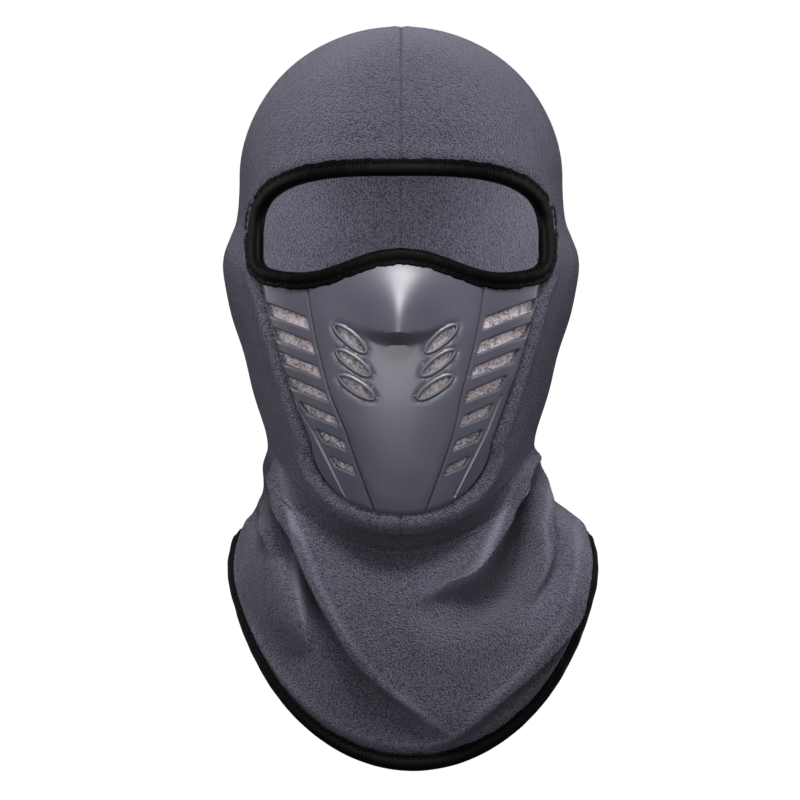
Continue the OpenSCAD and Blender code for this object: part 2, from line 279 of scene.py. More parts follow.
def thicken(points, faces, normals, thick, puff=0.35):
    # a closed skin: the faces, the same faces thick inwards, and a rounded rim
    # whose middle stands out by puff times the thickness
    n = len(points)
    rim = rimEdges(faces)
    lined = points - normals * thick
    out = np.cross(points[rim[:, 1]] - points[rim[:, 0]], normals[rim[:, 0]])
    push = np.zeros_like(points)
    np.add.at(push, rim[:, 0], unit(out))
    np.add.at(push, rim[:, 1], unit(out))
    ids = np.unique(rim)
    middle = (points[ids] + lined[ids]) / 2 + unit(push[ids]) * thick * puff
    slot = np.zeros(n, int)
    slot[ids] = 2 * n + np.arange(len(ids))
    a, b = rim[:, 0], rim[:, 1]
    walls = np.concatenate([np.stack([b, a, slot[a], slot[b]], -1),
                            np.stack([slot[b], slot[a], a + n, b + n], -1)])
    inner = faces[:, ::-1] + n
    if faces.shape[1] == 3:
        pad = lambda f: np.concatenate([f, np.full((len(f), 1), -1)], 1)
        faces, inner = pad(faces), pad(inner)
    return np.vstack([points, lined, middle]), np.vstack([faces, inner, walls])


def makeMesh(name, points, faces, finish, stands=(), sharp=None, uv=None,
             shade=None):
    # points in millimetres; faces of three or four corners, -1 for no fourth
    points, faces = np.asarray(points, float) * mm, np.asarray(faces)
    sizes = (faces >= 0).sum(1)
    corners = faces[faces >= 0]
    mesh = bpy.data.meshes.new(name)
    mesh.vertices.add(len(points))
    mesh.vertices.foreach_set("co", points.ravel())
    mesh.loops.add(len(corners))
    mesh.loops.foreach_set("vertex_index", corners.astype(np.int32))
    mesh.polygons.add(len(faces))
    mesh.polygons.foreach_set("loop_start", np.r_[0, np.cumsum(sizes)[:-1]].astype(np.int32))
    mesh.polygons.foreach_set("loop_total", sizes.astype(np.int32))
    mesh.polygons.foreach_set("use_smooth", np.ones(len(faces), bool))
    if uv is not None:
        mesh.uv_layers.new(name="along").data.foreach_set("uv", uv.ravel())
    if shade is not None:
        mesh.attributes.new("shade", "FLOAT", "POINT").data.foreach_set("value", shade)
    mesh.update(calc_edges=True)
    mesh.validate()
    if sharp:
        mesh.set_sharp_from_angle(angle=math.radians(sharp))
    mesh.materials.append(finish)
    piece = bpy.data.objects.new(name, mesh)
    bpy.context.collection.objects.link(piece)
    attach(piece, "root")
    if stands:
        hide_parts(*stands)
    return piece


def gridFaces(rows, cols, wrapRows=False, wrapCols=False):
    i = np.arange(rows if wrapRows else rows - 1)[:, None]
    k = np.arange(cols if wrapCols else cols - 1)[None]
    i1, k1 = (i + 1) % rows, (k + 1) % cols
    return np.stack(np.broadcast_arrays(
        i * cols + k, i * cols + k1, i1 * cols + k1, i1 * cols + k), -1).reshape(-1, 4)


def stitchMesh(at, along, out, long, thick):
    # one small capsule per stitch: six rings of six, bowed a little outwards
    t = np.array([-0.5, -0.38, -0.12, 0.12, 0.38, 0.5])
    r = np.array([0.35, 0.85, 1.0, 1.0, 0.85, 0.35]) * thick / 2
    bow = (1 - (2 * t) ** 2) * thick * 0.45
    a = np.arange(6) * math.pi / 3
    side = unit(np.cross(out, along))
    out = np.cross(along, side)
    frameOf = lambda f: f[:, None, None, :]
    ring = (frameOf(at) + frameOf(along) * (t * long)[None, :, None, None]
            + frameOf(side) * (r[:, None] * np.cos(a))[None, :, :, None]
            + frameOf(out) * (r[:, None] * np.sin(a) + bow[:, None])[None, :, :, None])
    count = len(at)
    points = ring.reshape(-1, 3)
    quads = gridFaces(6, 6, wrapCols=True)
    caps = np.array([[0, 5, 4, 3], [0, 3, 2, 1], [30, 31, 32, 33], [30, 33, 34, 35]])
    one = np.vstack([quads, caps])
    faces = (one[None] + (np.arange(count) * 36)[:, None, None]).reshape(-1, 4)
    middle = points[faces].mean(1) - np.repeat(at, len(one), 0)
    face = np.cross(points[faces[:, 2]] - points[faces[:, 0]],
                    points[faces[:, 3]] - points[faces[:, 1]])
    turned = (face * middle).sum(1) < 0
    faces[turned] = faces[turned, ::-1]
    return points, faces


# materials
def linear(hexCode):
    # sRGB hex to linear RGBA
    c = np.array([int(hexCode[i:i + 2], 16) for i in (1, 3, 5)]) / 255
    c = np.where(c <= 0.04045, c / 12.92, ((c + 0.055) / 1.055) ** 2.4)
    return (*c.tolist(), 1.0)


def fill(tree, node, values):
    # each value is either another node's output or a constant
    for key, value in values.items():
        if isinstance(value, bpy.types.NodeSocket):
            tree.links.new(value, node.inputs[key])
        else:
            node.inputs[key].default_value = value


def addNode(tree, kind, values=None, **settings):
    node = tree.nodes.new("ShaderNode" + kind)
    for key, value in settings.items():
        setattr(node, key, value)
    fill(tree, node, values or {})
    return node


def newFinish(name):
    finish = bpy.data.materials.new(name)
    finish.use_nodes = True
    return finish, finish.node_tree


def ramp(tree, value, stops):
    node = addNode(tree, "ValToRGB", {"Fac": value})
    marks = node.color_ramp.elements
    while len(marks) < len(stops):
        marks.new(0.5)
    for mark, (at, colour) in zip(marks, stops):
        mark.position, mark.color = at, linear(colour)
    return node.outputs["Color"]


def dress(finish, values, height=None, deep=0.0, strength=1.0):
    # the shader's own values and a relief deep millimetres high
    tree = finish.node_tree
    skin = tree.nodes["Principled BSDF"]
    fill(tree, skin, values)
    if height is not None:
        bump = addNode(tree, "Bump", {"Height": height, "Distance": deep * mm,
                       "Strength": strength})
        tree.links.new(bump.outputs["Normal"], skin.inputs["Normal"])
    return finish


# tuft, clump and fibre widths and the relief's depth in millimetres; single fibres
# are too fine to show, so they are drawn coarser, as strands fibre wide
# the last two colours are painted: painted shade for the cape's hollows, under the chin and
# along the crown seam, and painted highlight along the fold crests
fleeceLook = dict(dark="#363540", middle="#4d4c59", light="#6a6979", paintedShade="#111116",
                  paintedHighlight="#a3a2b4", nap=0.85, clump=3.1, fibre=0.42, depth=1.35, sheen=0.66)


def brushedFleece():
    # Polyester fleece, knitted and brushed: matt, with small pebbled tufts that
    # catch light on their tops, and loose fibres that glow at grazing angles
    finish, tree = newFinish("brushedFleece")
    place = addNode(tree, "TexCoord").outputs["Object"]
    stir = addNode(tree, "TexNoise", {"Vector": place, "Scale": 260, "Detail": 2})
    moved = addNode(tree, "MixRGB", {"Fac": 0.0016, "Color1": place,
                    "Color2": stir.outputs["Color"]}, blend_type="ADD")
    tufts = addNode(tree, "TexVoronoi", {"Vector": moved.outputs[0],
                    "Scale": 1000 / fleeceLook["nap"], "Smoothness": 0.6}, feature="SMOOTH_F1")
    clumps = addNode(tree, "TexNoise", {"Vector": place, "Scale": 1000 / fleeceLook["clump"],
                     "Detail": 3, "Roughness": 0.6})
    fibres = addNode(tree, "TexNoise", {"Vector": place, "Scale": 1000 / fleeceLook["fibre"],
                     "Detail": 3, "Roughness": 0.65})
    worn = addNode(tree, "TexNoise", {"Vector": place, "Scale": 22, "Detail": 3})
    top = addNode(tree, "Math", {0: tufts.outputs["Distance"], 1: -1.0,
                  2: 0.62}, operation="MULTIPLY_ADD")
    pile = addNode(tree, "Math", {0: clumps.outputs["Fac"], 1: 0.25,
                   2: top.outputs[0]}, operation="MULTIPLY_ADD")
    fuzz = addNode(tree, "Math", {0: fibres.outputs["Fac"], 1: 0.75,
                   2: pile.outputs[0]}, operation="MULTIPLY_ADD")
    tone = addNode(tree, "Math", {0: worn.outputs["Fac"], 1: 0.35,
                   2: fuzz.outputs[0]}, operation="MULTIPLY_ADD")
    level = addNode(tree, "MapRange", {"Value": tone.outputs[0],
                    "From Min": 0.50, "From Max": 1.15})
    # the colour follows the tufts as the relief does: paler tops and darker pits, partly the
    # fleece's own mottling and partly painted highlight and painted shade
    colour = ramp(tree, level.outputs[0], [
        (0.12, fleeceLook["dark"]), (0.5, fleeceLook["middle"]), (0.92, fleeceLook["light"])])
    # painted shade and painted highlight: above nought the shade attribute mixes the colour
    # towards a dark painted shade, below nought towards a pale painted highlight
    paintedShade = addNode(tree, "Attribute", attribute_name="shade").outputs["Fac"]
    paintedHighlight = addNode(tree, "Math", {0: paintedShade, 1: -1.0}, operation="MULTIPLY",
                     use_clamp=True)
    shaded = addNode(tree, "MixRGB", {"Fac": paintedShade, "Color1": colour,
                     "Color2": linear(fleeceLook["paintedShade"])})
    paler = addNode(tree, "MixRGB", {"Fac": paintedHighlight.outputs[0],
                    "Color1": shaded.outputs[0], "Color2": linear(fleeceLook["paintedHighlight"])})
    return dress(finish, {
        "Base Color": paler.outputs[0], "Roughness": 0.92, "Specular IOR Level": 0.18,
        "IOR": 1.45, "Sheen Weight": fleeceLook["sheen"], "Sheen Roughness": 0.45,
        "Sheen Tint": linear("#b9b9cc")}, fuzz.outputs[0], fleeceLook["depth"])


def mouldedSilicone():
    # Silicone rubber from a satin mould: soft broad gloss, a little dust-grey
    # unevenness, and faint mould grain drawn coarser, 0.45 mm
    finish, tree = newFinish("mouldedSiliconeSatin")
    place = addNode(tree, "TexCoord").outputs["Object"]
    cloud = addNode(tree, "TexNoise", {"Vector": place, "Scale": 45, "Detail": 4})
    grain = addNode(tree, "TexNoise", {"Vector": place, "Scale": 1000 / 0.45,
                    "Detail": 2})
    colour = ramp(tree, cloud.outputs["Fac"], [(0.3, "#4c4b59"), (0.7, "#555463")])
    gloss = addNode(tree, "MapRange", {"Value": cloud.outputs["Fac"],
                    "From Min": 0.3, "From Max": 0.7, "To Min": 0.42, "To Max": 0.48})
    return dress(finish, {
        "Base Color": colour, "Roughness": gloss.outputs[0], "IOR": 1.43,
        "Specular IOR Level": 0.95, "Coat Weight": 0.45, "Coat Roughness": 0.34},
        grain.outputs["Fac"], 0.03, 0.7)


def foldedTape():
    # Polyester-elastane binding: close ribs across the tape, black with a soft
    # sheen along the fold
    finish, tree = newFinish("ribbedBindingTape")
    along = addNode(tree, "UVMap", uv_map="along").outputs["UV"]
    ribs = addNode(tree, "TexWave", {"Vector": along, "Scale": 1000 / 0.9 / 20 * 3,
                   "Distortion": 1.2, "Detail": 1}, bands_direction="X")
    place = addNode(tree, "TexCoord").outputs["Object"]
    lint = addNode(tree, "TexNoise", {"Vector": place, "Scale": 1000 / 0.5,
                   "Detail": 3})
    both = addNode(tree, "Math", {0: ribs.outputs["Fac"], 1: 0.5,
                   2: lint.outputs["Fac"]}, operation="MULTIPLY_ADD")
    colour = ramp(tree, both.outputs[0], [(0.35, "#020203"), (1.0, "#070708")])
    return dress(finish, {
        "Base Color": colour, "Roughness": 0.5, "Specular IOR Level": 0.06,
        "Sheen Weight": 0.008, "Sheen Roughness": 0.4}, both.outputs[0], 0.16, 0.9)


def spunThread(name, dark, light):
    # Spun polyester thread: nearly matt, its fine twist drawn coarser, 0.3 mm
    finish, tree = newFinish(name)
    place = addNode(tree, "TexCoord").outputs["Object"]
    twist = addNode(tree, "TexNoise", {"Vector": place, "Scale": 1000 / 0.3,
                    "Detail": 3})
    colour = ramp(tree, twist.outputs["Fac"], [(0.3, dark), (0.7, light)])
    return dress(finish, {"Base Color": colour, "Roughness": 0.6,
                          "Specular IOR Level": 0.1}, twist.outputs["Fac"], 0.12)


def longPile():
    # Pressed pile: pinkish white, grey and dark fibres mixed, each one its own
    # shade, softly shiny
    finish, tree = newFinish("pressedPileFibre")
    shade = addNode(tree, "Attribute", attribute_name="shade").outputs["Fac"]
    place = addNode(tree, "TexCoord").outputs["Object"]
    clump = addNode(tree, "TexNoise", {"Vector": place, "Scale": 1000 / 2.0,
                    "Detail": 2})
    both = addNode(tree, "Math", {0: clump.outputs["Fac"], 1: 1.1,
                   2: shade}, operation="MULTIPLY_ADD")
    level = addNode(tree, "Math", {0: both.outputs[0], 1: 0.5},
                    operation="MULTIPLY")
    colour = ramp(tree, level.outputs[0], [
        (0.20, "#191317"), (0.34, "#8d7e85"), (0.50, "#efe2e7"), (0.70, "#fffafc")])
    return dress(finish, {"Base Color": colour, "Roughness": 0.7, "Sheen Weight": 0.3})


def wovenLabel():
    # Woven satin polyester: white, soft gloss, threads drawn coarser, 0.5 mm
    finish, tree = newFinish("wovenSatinLabel")
    place = addNode(tree, "TexCoord").outputs["Object"]
    weft, warp = (addNode(tree, "TexWave", {"Vector": place, "Scale": 1000 / 0.5 / 20 * 3},
                          bands_direction=axis) for axis in "ZX")
    weave = addNode(tree, "Math", {0: weft.outputs["Fac"], 1: warp.outputs["Fac"]},
                    operation="MULTIPLY")
    colour = ramp(tree, weave.outputs[0], [(0.0, "#c9c9cf"), (0.8, "#ececf0")])
    return dress(finish, {"Base Color": colour, "Roughness": 0.42}, weave.outputs[0], 0.08)


fleece = brushedFleece()
silicone = mouldedSilicone()
tapeFinish = foldedTape()
blackThread = spunThread("blackSpunThread", "#060607", "#121215")
greyThread = spunThread("greySpunThread", "#3c3c46", "#5c5c68")
pinkThread = spunThread("paleSpunThread", "#a89ba1", "#d8ccd1")
pileFinish = longPile()
labelFinish = wovenLabel()
print("materials ready")

# hood in halves
hood = dict(thick=2.0, step=2.3, roll=1.9, rollWidth=3.2, seamDip=0.55, seamWidth=0.7,
            puff=1.2, puffAt=10.0, puffWidth=3.5, chin=1.8, chinAt=-243.0, chinWidth=5.5,
            uneven=0.35, seamShade=0.75)


def faceEdge():
    # one half of the hole in the hood: the eye opening from its top centre to
    # the mask's outline, then that outline down to the chin
    dense, down = eyeOutline(), maskOutline()
    top = dense[(dense[:, 0] >= 0) & (dense[:, 1] > eye["level"] - 25)]
    top = top[np.argsort(-np.arctan2(top[:, 1] - eye["level"], top[:, 0]))]
    top = top[~(inside(top, maskOutline()) & (top[:, 1] < eye["level"]))]
    down = down[(down[:, 0] >= 0) & (down[:, 1] < top[-1, 1])]
    line = np.vstack([top, down])
    line[0, 0] = 0
    line[-1, 0] = 0
    return line


# a map of the head that keeps small shapes: angle across, level down, scaled so
# that both run alike over the surface
vTable = np.linspace(vPole, vJaw, 4000)
rowTable = levelAt(vTable)
radiusTable = (rowTable[:, 3] + (rowTable[:, 4] + rowTable[:, 5]) / 2) / 2
heightTable = rowTable[:, 0] * 0.5 + rowTable[:, 1] * 0.25 + rowTable[:, 2] * 0.25
runTable = np.r_[0, np.cumsum(np.hypot(np.diff(heightTable), np.diff(radiusTable)))]
mapTable = np.r_[0, np.cumsum(np.diff(runTable) / ((radiusTable[1:] + radiusTable[:-1]) / 2))]
mapScale = 80.0


def toMap(a, v):
    return np.stack([a, np.interp(v, vTable, mapTable)], -1) * mapScale


def fromMap(p):
    return p[:, 0] / mapScale, np.interp(p[:, 1] / mapScale, mapTable, vTable)


def hoodRelief(points):
    # rolled edge at the mask, a dip along the centre seam, fullness by the tape
    edge = faceEdge()
    a, v = findLevel(edge[:, 0], edge[:, 1])
    edge3 = evenly(headPoint(a, v), 1.0)
    gap, which = nearest(points, edge3, also=True)
    byMask = ease((eye["level"] - 14 - edge3[which, 2]) / 14)
    turn = np.clip(1 - gap / hood["rollWidth"], 0, 1)
    roll = -hood["roll"] * (1 - np.sqrt(1 - turn**2)) * byMask
    puffs = hood["puff"] * bell(gap - mix(hood["puffAt"], 5.5, byMask),
                                mix(hood["puffWidth"], 2.6, byMask))
    x = np.abs(points[:, 0])
    seam = -hood["seamDip"] * np.exp(-x / hood["seamWidth"]) + 0.3 * bell(x - 3.2, 1.6)
    soft = hood["uneven"] * np.sin(points[:, 0] / 13 + points[:, 2] / 17) * np.sin(
        points[:, 1] / 19 + points[:, 2] / 11)
    chin = hood["chin"] * bell(points[:, 2] - hood["chinAt"] - 0.011 * points[:, 0] ** 2,
                               hood["chinWidth"]) * (points[:, 1] < 0)
    chin = chin * ease((62 - x) / 25) * ease(gap / 6)
    return roll + puffs + seam + chin + soft * ease(gap / 20)


def hoodHalf(side):
    edge = evenly(faceEdge(), 1.1)
    a, v = findLevel(edge[:, 0], edge[:, 1])
    a[0] = a[-1] = 0
    hole = toMap(a, v)
    free, runs = [], np.arange(2.0, runTable[-1], hood["step"])
    for k, run in enumerate(runs):
        radius, level = np.interp(run, runTable, radiusTable), np.interp(run, runTable, vTable)
        n = max(int(round(math.pi * radius / hood["step"])), 3)
        a = (np.arange(n) + 0.5 * (k % 2)) * math.pi / n
        near = np.array([0.5, 1.1, 1.9, 3.0]) / radius
        a = a[(a > 4.2 / radius) & (a < math.pi - 4.2 / radius)]
        a = np.r_[near[near < 1], a, math.pi - near[near < 1]]
        free.append(toMap(a, np.full(len(a), level)))
    grown = [growLine(edge, g) for g in (0.7, 1.5, 2.4, 3.5)]
    rings = [toMap(*findLevel(np.abs(g[:, 0]), g[:, 1])) for g in grown]
    free = np.vstack([p[nearest(p, np.vstack([hole, *rings])) > 1.3] for p in free
                      if len(p)] + [r[3:-3] for r in rings])
    # the outline of this half: down the front seam, round the hole, along the
    # jaw, up the back and across the pole
    upper, lower = v[0], v[-1]
    seamLevels = lambda v0, v1: np.interp(np.arange(
        np.interp(v0, vTable, runTable), np.interp(v1, vTable, runTable), 1.8),
        runTable, vTable)
    front = seamLevels(vPole, upper)
    chin = seamLevels(lower, vJaw)[1:]
    back = seamLevels(vPole, vJaw)[::-1]
    jaw = np.linspace(0, math.pi, 150)
    loop = np.vstack([
        toMap(np.zeros(len(front)), front), hole, toMap(np.zeros(len(chin)), chin),
        toMap(jaw, np.full(len(jaw), vJaw)), toMap(np.full(len(back), math.pi), back),
        toMap(np.array([math.pi / 2]), np.array([vPole]))])
    flat, faces = triangulate(free, [(loop, True)], lambda c: inside(c, loop), 0.9)
    a, v = fromMap(flat)
    points, normals = headPoint(a, v), headNormal(a, v)
    points += normals * (hoodRelief(points) * ease((vJaw - v) / 0.4))[:, None]
    points[v < vPole * 1.01] = points[v < vPole * 1.01].mean(0) * (0, 1, 1)
    onSeam = (np.abs(a) < 1e-6) | (np.abs(a - math.pi) < 1e-6)
    points[onSeam, 0] = 0
    normals[onSeam, 0] = 0
    normals = unit(normals)
    turnOut(points, faces, normals)
    if side < 0:
        points, normals, faces = points * (-1, 1, 1), normals * (-1, 1, 1), faces[:, ::-1]
    made = thicken(points, faces, normals, hood["thick"])
    # painted shade: the colour darkens in a narrow band along the centre seam, as if its groove
    # were shadowed
    return *made, hood["seamShade"] * bell(made[0][:, 0], 0.5)


def growLine(line, grow):
    # the line moved sideways, to its left as it runs
    return line + leftOf(unit(np.gradient(line, axis=0))) * grow


# each half carries its painted seam shade in the shade attribute
for side, name in ((1, "hoodLeft"), (-1, "hoodRight")):
    points, faces, paintedShade = hoodHalf(side)
    piece = makeMesh(name, points, faces, fleece,
                     ["hood_left" if side > 0 else "hood_right"], sharp=42, shade=paintedShade)
    print(name, len(faces))

# neck cape
cape = dict(thick=2.0, around=440, down=100, half=93.0, spread=67.0, shift=6.0,
            sideHem=-255.0, frontDrop=111.0, backDrop=72.0, hemRound=0.03,
            hemCurve=0.42, recess=17.0, reach=93.0, napeReach=74.0, backReach=86.0,
            pocket=3.5, drawnIn=6.0, rollHigh=0.9, rollAt=10.5, dipDeep=0.6, dipAt=6.5,
            crestLight=0.55, crestWide=2.4, denser=0.32, waves=((2.6, 5), (1.6, 9)))
# folds in front view: x, z and height of the crest; low says on which side of
# the crest, going down the list, the cloth drops away (1 for the left hand).
# wide is the reach of the high side, drop that of the steep side
folds = [
    dict(line=[(-64, -207, 0), (-62.3, -213, 3.0), (-58.2, -227.9, 9.5), (-54.5, -243, 12.5),
               (-49.4, -253.2, 14), (-41.8, -273.5, 14.5), (-32.9, -291.2, 13.5),
               (-20.2, -310.6, 11.5), (-6.3, -325.9, 9.5), (7.7, -337.1, 6.5),
               (15.4, -343.7, 3.5), (22, -349, 0)], low=-1, wide=30, drop=3.4, lip=3.0,
         valley=3.0),
    dict(line=[(89, -243, 0), (88.1, -251.2, 4.0), (87.4, -266.6, 8.0), (83.2, -284, 9.5),
               (78.3, -296.5, 9.5), (62.3, -316.8, 8.5), (41.4, -336.2, 7.5),
               (23.9, -351.1, 5.0), (9.9, -356.6, 0)], low=1, wide=14, drop=3.4, lip=1.4,
         valley=1.5),
    dict(line=[(68.5, -203, 0), (67.5, -208, 1.5), (61, -219, 7.0), (55.3, -229.9, 10.5),
               (45.5, -252.2, 11.5), (35.8, -269.6, 10.0), (20.4, -277, 6.5),
               (-0.5, -287, 0)], low=1, wide=26, drop=4.5, lip=2.4, valley=3.5),
    dict(line=[(72.5, -212, 0), (73.4, -231.8, 6.5), (71.3, -245.8, 8.5),
               (72.7, -259.7, 6.0), (70, -272, 3.0), (60, -285, 0)], low=1, wide=8,
         drop=3.6, lip=1.8, valley=4.0),
    dict(line=[(-57, -232, 0), (-54.5, -247.2, 5.0), (-51.9, -269.6, 8.5),
               (-48.8, -292.5, 6.5), (-47.7, -312, 0)], low=1, wide=10, drop=3.2,
         lip=1.4, valley=1.0),
    dict(line=[(-70, -226, 0), (-68.6, -234.8, 5.0), (-65, -247, 6.0), (-62.6, -264, 0)],
         low=-1, wide=9, drop=3.6, lip=1.6, valley=2.5),
]
# hollows in front view: x, z and depth along a line, and half the width
hollows = [
    dict(line=[(64, -214, 0), (64, -228, 7), (63, -244, 11), (60, -260, 13), (53, -275, 12),
               (41, -285, 8), (25, -292, 4), (6, -298, 0)], wide=8.5),
    dict(line=[(-62, -224, 0), (-58.5, -238, 6), (-52.5, -258, 8), (-46, -278, 7),
               (-37, -298, 4), (-24, -316, 0)], wide=6.0),
    dict(line=[(-69, -211, 0), (-67, -222, 8), (-66, -236, 7), (-63, -250, 0)], wide=5.0),
    dict(line=[(78, -240, 0), (78, -256, 5), (74, -272, 6), (65, -288, 3), (55, -298, 0)],
         wide=5.5),
]
# painted shade in front view: x, z and strength along a line, and half the width; it
# darkens the cape's hollows, the crease under the chin and the panels beside the folds
paintedShadows = [
    dict(line=[(62, -222, 0.4), (63, -244, 0.75), (60, -262, 0.8), (50, -281, 0.85),
               (30, -292, 0.5), (12, -297, 0)], wide=9.0),
    dict(line=[(-72, -214, 0.5), (-70, -232, 0.85), (-66, -246, 0.6), (-62, -256, 0.3)],
         wide=5.0),
    dict(line=[(-76, -250, 0.2), (-71, -268, 0.65), (-64, -288, 0.75), (-53, -310, 0.5),
               (-38, -328, 0.2)], wide=10.0),
    dict(line=[(-48, -226, 0.3), (-20, -254, 0.4), (0, -259, 0.45), (20, -254, 0.4),
               (48, -226, 0.3)], wide=5.0),
    dict(line=[(-66, -222, 0.3), (-59, -244, 0.4), (-49, -262, 0.5), (-41, -284, 0.6),
               (-28, -306, 0.5), (-6, -330, 0.3)], wide=4.5),
    dict(line=[(88, -262, 0.2), (82, -294, 0.6), (66, -318, 0.75), (42, -340, 0.55),
               (20, -354, 0.2)], wide=4.5),
    dict(line=[(30, -318, 0.15), (8, -306, 0.2), (-12, -290, 0.15)], wide=14.0),
]
for fold in folds + hollows + paintedShadows:
    fold["path"] = smoothLine(fold["line"], 1.5)


def hemShare(c):
    return (c * c + cape["hemRound"]) ** cape["hemCurve"] - cape["hemRound"] ** cape["hemCurve"]


def capeBase(a, w):
    # w runs from 0 at the jaw seam to 1 at the hem; under the chin the cloth
    # turns in by recess, and it opens into a free bell as it hangs
    a, w = np.broadcast_arrays(a, w)
    c, s = np.cos(a), np.sin(a)
    front = c > 0
    ring = headPoint(a, np.full(a.shape, vJaw))
    hem = cape["sideHem"] - np.where(front, cape["frontDrop"], cape["backDrop"]) * (
        hemShare(c) / hemShare(1.0))
    z = mix(ring[..., 2], hem, w)
    below = ring[..., 2] - z
    half = mix(head["stations"][-1, 3], cape["half"], ease(below / cape["spread"]))
    power = mix(head["square"], 2.0, np.clip(w, 0, 1))
    turned = np.abs(np.degrees(np.arctan2(s, c)))
    recess = cape["recess"] * ease((below + 2) / 8) * (1 - ease((below - 4) / 60)) * (
        1 - ease((turned - 40) / 32))
    reach = cape["reach"] - recess - 3 * ease((below - 90) / 25)
    y = np.where(front, -reach * bend(c, power),
                 -mix(cape["napeReach"], cape["backReach"], np.clip(below / 115, 0, 1)) * c)
    x = half * np.where(front, bend(s, power), s) + cape["shift"] * ease(w / 0.5)
    return np.stack([x, y, z], -1)


def baseNormal(a, w, d=0.01):
    down = capeBase(a, w + d) - capeBase(a, w - d)
    return unit(np.cross(down, capeBase(a + d, w) - capeBase(a - d, w)))


def byPath(flat, path):
    # distance to a path of x, z and a value, the nearest row and its value
    gap, which = nearest(flat, path[:, :2], also=True)
    return gap, which, path[which, 2]


def foldShift(points, fold):
    # height and sideways push of one fold at each point, from the distance to
    # its crest: exp(-d/wide) on the high side, a bell on the steep side with a
    # valley beyond it
    flat, path = points[:, [0, 2]], fold["path"]
    gap, which, high = byPath(flat, path)
    left = leftOf(unit(np.gradient(path[:, :2], axis=0))[which])
    toLow = ((flat - path[which, :2]) * left).sum(1) * fold["low"]
    soft = np.sqrt(gap**2 + 0.5) - 0.7
    rise = np.where(toLow < 0, np.exp(-soft / fold["wide"]), bell(gap, fold["drop"]))
    away = np.clip(toLow, 0, None) / (fold["drop"] * 1.7)
    valley = fold["valley"] * away**2 * np.exp(1 - away**2) * (toLow > 0)
    share = high / path[:, 2].max()
    push = fold["lip"] * share * np.exp(-np.abs(toLow) / 3.0) * np.exp(
        -np.clip(gap - np.abs(toLow), 0, None) / 3)
    side = left * fold["low"] * push[:, None]
    return high * rise - valley * share, side


def capeSurface(a, w):
    # the bell with its folds
    a, w = np.broadcast_arrays(np.asarray(a, float), np.asarray(w, float))
    shape = a.shape
    base = capeBase(a, w)
    out = baseNormal(a, w).reshape(-1, 3)
    points, a, w = base.reshape(-1, 3), a.ravel(), w.ravel()
    c = np.cos(a)
    facing = ease((c + 0.12) / 0.3)
    fromSeam = w * np.abs(capeBase(a, np.ones_like(w))[:, 2]
                          - capeBase(a, np.zeros_like(w))[:, 2])
    free = ease(fromSeam / 7)
    rise, shiftX, shiftZ = np.zeros(len(w)), np.zeros(len(w)), np.zeros(len(w))
    for fold in folds:
        up, side = foldShift(points, fold)
        rise += up
        shiftX += side[:, 0]
        shiftZ += side[:, 1]
    for hollow in hollows:
        gap, _, deep = byPath(points[:, [0, 2]], hollow["path"])
        rise -= deep * bell(gap, hollow["wide"])
    # soft waves at the back and sides, and a low roll along the hem
    behind = ease((-c - 0.05) / 0.4)
    (low, few), (small, many) = cape["waves"]
    waves = low * np.sin(a * few + 0.6) + small * np.sin(a * many + 2.0 + 1.5 * w)
    rise = rise * facing + waves * behind * ease(w / 0.7)
    turned = np.abs(np.degrees(np.arctan2(np.sin(a), c)))
    rise += cape["pocket"] * bell(turned - 100, 28) * (a > math.pi) * ease(fromSeam / 12) * (
        1 - ease((fromSeam - 12) / 20))
    fromHem = (1 - w) * fromSeam / np.maximum(w, 1e-3)
    rise *= 0.15 + 0.85 * ease((fromHem - 4) / 13)
    # drawn in under the jaw's end at the right in front view
    rise -= cape["drawnIn"] * bell(turned - 90, 24) * (a < math.pi) * bell(fromSeam - 23, 8.5)
    rise += cape["rollHigh"] * bell(fromHem - cape["rollAt"], 3.0)
    rise -= cape["dipDeep"] * bell(fromHem - cape["dipAt"], 2.0)
    keep = (free * facing)[:, None]
    moved = points + out * (rise * free)[:, None]
    moved += np.stack([shiftX, np.zeros(len(w)), shiftZ], -1) * keep
    return moved.reshape(*shape, 3)


def paintedShadeAndHighlight(points):
    # painted shade and painted highlight: over nought along the painted shadows, below
    # nought for a painted highlight along the fold crests
    flat, tone = points[:, [0, 2]], np.zeros(len(points))
    for line in paintedShadows:
        gap, _, much = byPath(flat, line["path"])
        tone += much * bell(gap, line["wide"])
    for fold in folds:
        gap, _, high = byPath(flat, fold["path"])
        tone -= cape["crestLight"] * high / fold["path"][:, 2].max() * bell(
            gap, cape["crestWide"])
    return np.clip(tone, -0.6, 0.8) * (points[:, 1] < 30)


def makeCape():
    # columns lie closer together in front, where the folds are
    a = np.linspace(0, 2 * math.pi, cape["around"], endpoint=False)[None]
    a = a - cape["denser"] * np.sin(a)
    w = (np.linspace(0, 1, cape["down"]) ** 1.12)[:, None]
    points = capeSurface(a, w)
    rows, cols = points.shape[:2]
    ahead, back = np.roll(points, -1, 1), np.roll(points, 1, 1)
    normals = unit(np.cross(np.gradient(points, axis=0), ahead - back))
    faces = gridFaces(rows, cols, wrapCols=True)[:, ::-1]
    flat, skin = points.reshape(-1, 3), normals.reshape(-1, 3)
    if (faceNormals(flat, faces) * skin[faces[:, 0]]).sum() < 0:
        faces = faces[:, ::-1]
    made = thicken(flat, faces, skin, cape["thick"])
    return *made, np.r_[paintedShadeAndHighlight(flat), np.zeros(len(made[0]) - len(flat))]


# the shade attribute carries the cape's painted shade and painted highlight
points, faces, paintedShade = makeCape()
capePiece = makeMesh("neckCape", points, faces, fleece, ["neck_cape"],
                     sharp=42, shade=paintedShade)
print("neckCape", len(faces))

